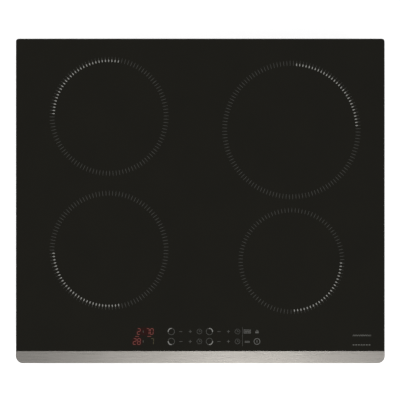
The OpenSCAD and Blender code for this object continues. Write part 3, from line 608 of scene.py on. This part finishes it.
class Film:
    """Flat closed shapes of one ink, collected in millimetres and laid on the glass."""

    def __init__(self, lift=PRINT_LIFT, film=PRINT_FILM):
        self.low_z = GLASS_MAX.z + lift
        self.top_z = self.low_z + film
        self.vertices = []
        self.faces = []

    def rails(self, left, right, closed=False):
        """A thin solid between two rails of the same number of points."""
        count = len(left)
        low_left = len(self.vertices)
        low_right = low_left + count
        top_left = low_right + count
        top_right = top_left + count
        for z in (self.low_z, self.top_z):
            for rail in (left, right):
                self.vertices += [(x * MM, y * MM, z) for x, y in rail]
        for here in range(count if closed else count - 1):
            there = (here + 1) % count
            self.faces += [
                (top_left + here, top_right + here, top_right + there, top_left + there),
                (low_left + here, low_left + there, low_right + there, low_right + here),
                (low_left + here, top_left + here, top_left + there, low_left + there),
                (low_right + here, low_right + there, top_right + there, top_right + here),
            ]
        if not closed:
            for at in (0, count - 1):
                self.faces.append((low_left + at, low_right + at, top_right + at, top_left + at))

    def stroke(self, points, width):
        """A line of even width through points, with mitred corners."""
        left = []
        right = []
        for index, point in enumerate(points):
            here = Vector(point)
            before = Vector(points[max(index - 1, 0)])
            after = Vector(points[min(index + 1, len(points) - 1)])
            ways = [way.normalized() for way in (here - before, after - here) if way.length > 1e-6]
            along = sum(ways, Vector((0.0, 0.0))).normalized()
            reach = width / 2 / max(along.dot(ways[0]), LEAST_MITRE)
            side = Vector((-along.y, along.x)) * reach
            left.append(tuple(here + side))
            right.append(tuple(here - side))
        self.rails(left, right)

    def level_stroke(self, x, y, half, width):
        """A stroke along X."""
        self.stroke([(x - half, y), (x + half, y)], width)

    def arc(self, centre, radius, width, start=0.0, end=360.0):
        """A ring, or a piece of one, with angles in degrees."""
        whole = abs(end - start) >= 360.0
        steps = max(6, int(abs(end - start) / ARC_STEP))
        angles = [math.radians(start + (end - start) * i / steps) for i in range(steps + (not whole))]
        inner = [polar(centre, radius - width / 2, angle) for angle in angles]
        outer = [polar(centre, radius + width / 2, angle) for angle in angles]
        self.rails(inner, outer, closed=whole)

    def piece(self, name, material):
        """Makes the collected shapes one piece that moves with the hob."""
        mesh = bpy.data.meshes.new(name)
        mesh.from_pydata(self.vertices, [], self.faces)
        mesh.validate()
        face_outwards(mesh)
        mesh.materials.append(material)
        made = bpy.data.objects.new(name, mesh)
        bpy.context.scene.collection.objects.link(made)
        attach(made, "hob")


def ink(name, base):
    """Fired enamel: slightly uneven tone with pinholes."""
    look = Look(name, base)
    cover = look.noise(900.0, detail=3)
    look.color(cover, [(0.25, shade(base, 0.72)), (0.6, base), (0.8, shade(base, 1.15))])
    look.roughness(cover, [(0.3, 0.10), (0.7, 0.24)])
    look.bump(cover, 0.000002)
    return look.material


def glowing(name, base, glow):
    """Segments that emit light, with a slightly uneven glow: lit ones, or the painted glow of an unlit
    digit.
    """
    look = Look(name, base, 0.12)
    patches = look.noise(700.0, detail=2)
    lit = look.ramp(patches, [(0.3, shade(glow, 0.8)), (0.7, shade(glow, 1.15))])
    look.link(lit, look.shader.inputs["Emission Color"])
    look.shader.inputs["Emission Strength"].default_value = 1.0
    look.bump(patches, 0.000004)
    return look.material


# ---------------------------------------------------------------- cooking zones

# name: inner and outer radius in mm, number of dashes, bright arc from and to in degrees
ZONE_RINGS = {
    "rear_left": (86.0, 94.3, 108, 80.5, 177.6),
    "rear_right": (101.4, 109.7, 128, 3.9, 85.5),
    "front_left": (86.0, 94.3, 108, 183.2, 280.0),
    "front_right": (76.6, 84.0, 94, 273.4, 358.0),
}
# a dash of the ring, the bright drop at its inner end in the lit arc, and the tail behind the drop
DASH_WIDTH = 1.05
DASH_TIP = 0.35
DROP_WIDTH = 1.75
DROP_TIP = 0.4
DROP_LENGTH = 4.1
TAIL_SETBACK = 0.6

# part of the length from the inner end, and width there in mm
DASH_PROFILE = [
    (0.0, DASH_TIP),
    (0.12, DASH_WIDTH * 0.8),
    (0.35, DASH_WIDTH),
    (0.65, DASH_WIDTH * 0.9),
    (0.88, DASH_WIDTH * 0.6),
    (1.0, DASH_TIP),
]
TAIL_PROFILE = [
    (0.45, DASH_WIDTH * 0.8),
    (0.7, DASH_WIDTH * 0.7),
    (1.0, DASH_TIP),
]
DROP_PROFILE = [
    (0.0, DROP_TIP),
    (0.12, DROP_WIDTH * 0.75),
    (0.35, DROP_WIDTH),
    (0.65, DROP_WIDTH * 0.85),
    (0.9, DROP_WIDTH * 0.5),
    (1.0, DROP_TIP),
]


def dash_rails(centre, inner, outer, angle, profile):
    """Rails of a radial dash that widens and narrows along its length."""
    left = []
    right = []
    for part, width in profile:
        x, y = polar(centre, inner + (outer - inner) * part, angle)
        side_x = -math.sin(angle) * width / 2
        side_y = math.cos(angle) * width / 2
        left.append((x + side_x, y + side_y))
        right.append((x - side_x, y - side_y))
    return left, right


def print_zone(zone, dim_ink, bright_ink):
    """A ring of dashes round the zone's winding, brighter over one quarter."""
    inner, outer, count, bright_from, bright_to = ZONE_RINGS[zone]
    low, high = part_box("winding_" + zone)
    centre = ((low.x + high.x) / 2 / MM, (low.y + high.y) / 2 / MM)
    dashes = Film()
    drops = Film()
    step = 360.0 / count
    for index in range(count):
        degrees = bright_from + step * index
        angle = math.radians(degrees)
        if degrees <= bright_to + step / 4:
            drops.rails(*dash_rails(centre, inner, inner + DROP_LENGTH, angle, DROP_PROFILE))
            dashes.rails(*dash_rails(centre, inner + TAIL_SETBACK, outer, angle, TAIL_PROFILE))
        else:
            dashes.rails(*dash_rails(centre, inner, outer, angle, DASH_PROFILE))
    dashes.piece("zone_ring_" + zone, dim_ink)
    drops.piece("zone_arc_" + zone, bright_ink)


# ---------------------------------------------------------------- control panel

# rows of the panel behind the trim, and places along X from the hob's middle, in mm
TRIM_REAR = TRIM_MAX.y / MM
TOP_ROW = TRIM_REAR + 31.0
LOW_ROW = TRIM_REAR + 15.3
LIT_BAR_ROW = TRIM_REAR + 23.3
KEY_GROUPS = (-45.8, 14.4)
SEPARATOR_X = 66.7
ICON_LEFT_X = 74.2
ICON_RIGHT_X = 89.6

# keys along a group, from its ring, in mm
MINUS_STEP = 15.1
PLUS_STEP = 30.0
CLOCK_STEP = 44.4
KEY_RING_R = 5.1
KEY_LINE = 0.75
CLOCK_R = 3.9
POWER_R = 4.6


def print_clock(film, x, y):
    """A dial with two hands and eight hour marks."""
    film.arc((x, y), CLOCK_R, 0.55)
    film.stroke([(x, y + 2.3), (x, y), (x + 1.7, y)], 0.6)
    for hour in range(8):
        angle = math.radians(22.5 + 45.0 * hour)
        film.stroke([polar((x, y), 2.35, angle), polar((x, y), 3.0, angle)], 0.5)


def print_plus(film, x, y):
    """A plus whose upright is two strokes, so that nothing overlaps."""
    film.level_stroke(x, y, 2.2, 1.0)
    film.stroke([(x, y + 0.5), (x, y + 2.2)], 1.0)
    film.stroke([(x, y - 0.5), (x, y - 2.2)], 1.0)


def print_key_group(film, highlights, x, y):
    """Ring, minus, plus and clock of one zone; the ring's bright quarter points to the zone."""
    left = x < 0
    top = y == TOP_ROW
    quarter = {(True, True): 90.0, (True, False): 180.0, (False, False): 270.0, (False, True): 0.0}
    start = quarter[(left, top)] - 6.0
    end = start + 102.0
    highlights.arc((x, y), KEY_RING_R - 0.2, KEY_LINE * 1.9, start, end)
    film.arc((x, y), KEY_RING_R, KEY_LINE, end + 2.0, start + 358.0)
    film.level_stroke(x + MINUS_STEP, y, 2.6, KEY_LINE)
    print_plus(film, x + PLUS_STEP, y)
    print_clock(film, x + CLOCK_STEP, y)


def frame_corners(x, y, half_w, half_h):
    """The corners of a rectangle, anticlockwise."""
    return [(x + u * half_w, y + v * half_h) for u, v in ((-1, -1), (1, -1), (1, 1), (-1, 1))]


def print_pan(film, x, y):
    """A framed pan on a two-part surface."""
    film.rails(frame_corners(x, y, 4.65, 2.15), frame_corners(x, y, 5.5, 3.0), closed=True)
    film.level_stroke(x, y + 0.5, 4.0, 1.3)
    film.level_stroke(x - 2.3, y - 1.3, 1.7, 0.7)
    film.level_stroke(x + 2.3, y - 1.3, 1.7, 0.7)


def print_padlock(film, x, y):
    """A solid body under a half-round shackle."""
    film.level_stroke(x, y - 1.2, 2.7, 2.8)
    film.arc((x, y + 0.6), 1.6, 0.8, 0.0, 180.0)


def print_low_pan(film, x, y):
    """Two level bars."""
    film.level_stroke(x, y - 1.3, 3.9, 0.9)
    film.level_stroke(x, y + 0.3, 3.9, 0.8)


def print_power(film, x, y):
    """A ring round a short upright."""
    film.arc((x, y), POWER_R, 1.1)
    film.stroke([(x, y - 1.8), (x, y + 2.0)], 1.1)


def print_keys():
    """Two rows of two key groups, a separator, and four pictograms right of it."""
    film = Film()
    highlights = Film()
    for x in KEY_GROUPS:
        for y in (TOP_ROW, LOW_ROW):
            print_key_group(film, highlights, x, y)
    film.stroke([(SEPARATOR_X, TRIM_REAR + 38.2), (SEPARATOR_X, TRIM_REAR + 8.0)], 0.5)
    icons = Film()
    print_pan(icons, ICON_LEFT_X, TOP_ROW)
    print_padlock(icons, ICON_RIGHT_X, TOP_ROW)
    print_low_pan(icons, ICON_LEFT_X, LOW_ROW)
    print_power(icons, ICON_RIGHT_X, LOW_ROW)
    film.piece("key_print", ink("print_keys", (0.105, 0.105, 0.097)))
    icons.piece("icon_print", ink("print_icon", (0.16, 0.16, 0.15)))
    highlights.piece("key_highlights", ink("print_lit", (0.36, 0.36, 0.34)))


# ---------------------------------------------------------------- displays

# a digit's size in mm, and how far it leans along X for each mm of height
DIGIT_W = 5.3
DIGIT_H = 10.2
DIGIT_LEAN = 0.06
SEGMENT_T = 0.95
SEGMENT_GAP = 0.25
# half thickness along a segment, as a part of its full half thickness
SEGMENT_FLARE = (0.15, 1.0, 1.0, 0.15)
# segments a to g as ends in units of half width and half height
SEGMENTS = {
    "a": ((-1, 1), (1, 1)),
    "b": ((1, 1), (1, 0)),
    "c": ((1, 0), (1, -1)),
    "d": ((-1, -1), (1, -1)),
    "e": ((-1, 0), (-1, -1)),
    "f": ((-1, 1), (-1, 0)),
    "g": ((-1, 0), (1, 0)),
}
DIGITS = {"0": "abcdef", "2": "abged", "7": "abc", "8": "abcdefg"}
# numeral, and its middle in mm
LIT_DIGITS = [
    ("2", -97.2, TOP_ROW),
    ("7", -83.0, TOP_ROW),
    ("0", -76.6, TOP_ROW),
    ("2", -103.7, LOW_ROW),
    ("8", -96.9, LOW_ROW),
]
# an unlit numeral, and its middle in mm; it is drawn with a painted glow
FAINT_DIGITS = [("7", -76.1, LOW_ROW)]
LIT_BARS_X = (-100.0, -80.7)
MARKS_X = -90.2

WINDOW_X = (-110.0, -68.0)
WINDOW_Y = (TRIM_REAR + 4.5, TRIM_REAR + 42.0)
# centre and half size of each patch of stray light, in mm
HAZE_PATCHES = [
    ((-87.0, TOP_ROW), (17.5, 8.5)),
    ((-99.5, LOW_ROW + 0.7), (11.0, 9.0)),
]


def print_digit(film, numeral, x, y):
    """A seven-segment numeral with tapered bars, leaning a little to the right."""
    half_w = (DIGIT_W - SEGMENT_T) / 2
    half_h = (DIGIT_H - SEGMENT_T) / 2
    for key in DIGITS[numeral]:
        ends = []
        for u, v in SEGMENTS[key]:
            lean = DIGIT_LEAN * v * half_h
            ends.append(Vector((x + u * half_w + lean, y + v * half_h)))
        start, end = ends
        along = (end - start).normalized()
        side = Vector((-along.y, along.x)) * SEGMENT_T / 2
        tip = along * SEGMENT_GAP
        body = along * (SEGMENT_GAP + SEGMENT_T / 2)
        spine = (start + tip, start + body, end - body, end - tip)
        left = [tuple(point + side * flare) for point, flare in zip(spine, SEGMENT_FLARE)]
        right = [tuple(point - side * flare) for point, flare in zip(spine, SEGMENT_FLARE)]
        film.rails(left, right)


def haze_patch(look, centre, half):
    """1 inside an oval patch, falling to 0 at its edge."""
    scale = (1.0 / (half[0] * MM), 1.0 / (half[1] * MM), 0.0)
    moved = look.stretched(scale, (-centre[0] / half[0], -centre[1] / half[1], 0.0))
    reach = look.node("VectorMath", operation="LENGTH")
    look.link(moved, reach.inputs[0])
    return look.levels(reach.outputs["Value"], [(0.45, 1.0), (1.0, 0.0)])


def print_window():
    """Smoked window round the digits: the light behind it leaves a faint red haze."""
    left, right = WINDOW_X
    low, high = WINDOW_Y
    look = Look("display_haze", roughness=0.035, ior=1.52)
    patches = [haze_patch(look, *facts) for facts in HAZE_PATCHES]
    fade = look.math("MAXIMUM", *patches)
    haze = look.math("MULTIPLY", fade, look.levels(look.noise(90.0), [(0.3, 0.75), (0.7, 1.0)]))
    look.color(haze, [(0.0, (0.0078, 0.0069, 0.0031)), (1.0, (0.0060, 0.0014, 0.0004))])
    glow = look.ramp(haze, [(0.0, (0.0, 0.0, 0.0)), (1.0, (0.0155, 0.0, 0.0))])
    look.link(glow, look.shader.inputs["Emission Color"])
    look.shader.inputs["Emission Strength"].default_value = 1.0
    film = Film(WINDOW_LIFT, WINDOW_FILM)
    film.rails([(left, low), (left, high)], [(right, low), (right, high)])
    film.piece("display_window", look.material)


def print_displays():
    """Lit digits with two lit bars, one unlit digit given a painted glow, and a printed mark in each row.
    """
    digits = Film()
    for numeral, x, y in LIT_DIGITS:
        print_digit(digits, numeral, x, y)
    for x in LIT_BARS_X:
        digits.level_stroke(x, LIT_BAR_ROW, 2.8, 0.8)
    red = glowing("digit_red", (0.02, 0.01, 0.01), (0.185, 0.048, 0.040))
    digits.piece("display_digits", red)
    faint = Film()
    for numeral, x, y in FAINT_DIGITS:
        print_digit(faint, numeral, x, y)
    # painted glow: the unlit digit's segments emit a faint olive light
    olive = glowing("digit_faint", (0.02, 0.02, 0.012), (0.060, 0.050, 0.026))
    faint.piece("display_faint", olive)
    marks = Film()
    for y in (TOP_ROW, LOW_ROW):
        marks.stroke([(MARKS_X, y - 1.7), (MARKS_X, y + 1.7)], 1.15)
    marks.piece("display_marks", ink("mark_grey", (0.085, 0.095, 0.08)))


# ---------------------------------------------------------------- front right corner

# sizes and places in mm
LOOP_COUNT = 8
LOOP_STEP = 3.65
LOOP_X = GLASS_MAX.x / MM - 48.9
LOOP_Y = TRIM_REAR + 24.3
BAR_COUNT = 7
BAR_STEP = 4.2
BAR_LENGTH = 2.7
BAR_X = GLASS_MAX.x / MM - 50.7
BAR_Y = TRIM_REAR + 9.9


def print_corner_marks():
    """Two plain ornaments: a row of coil loops and a dashed bar."""
    film = Film()
    for index in range(LOOP_COUNT):
        film.arc((LOOP_X + index * LOOP_STEP, LOOP_Y), 1.35, 0.55, -30.0, 210.0)
    for index in range(BAR_COUNT):
        start = BAR_X + index * BAR_STEP
        film.stroke([(start, BAR_Y), (start + BAR_LENGTH, BAR_Y)], 1.1)
    film.piece("corner_marks", ink("print_corner", (0.27, 0.27, 0.25)))


# ---------------------------------------------------------------- build


def print_glass():
    """Everything printed or lit on the glass."""
    dim_ink = ink("print_dim", (0.071, 0.071, 0.064))
    bright_ink = ink("print_bright", (0.42, 0.42, 0.394))
    for zone in ZONE_RINGS:
        print_zone(zone, dim_ink, bright_ink)
    print_window()
    print_keys()
    print_displays()
    print_corner_marks()


make_camera()
make_sky()
make_floor()
for light_name, light_facts in LIGHTS.items():
    make_light(light_name, *light_facts)
paint_nodes()
print_glass()
bpy.context.scene.view_settings.view_transform = "Standard"
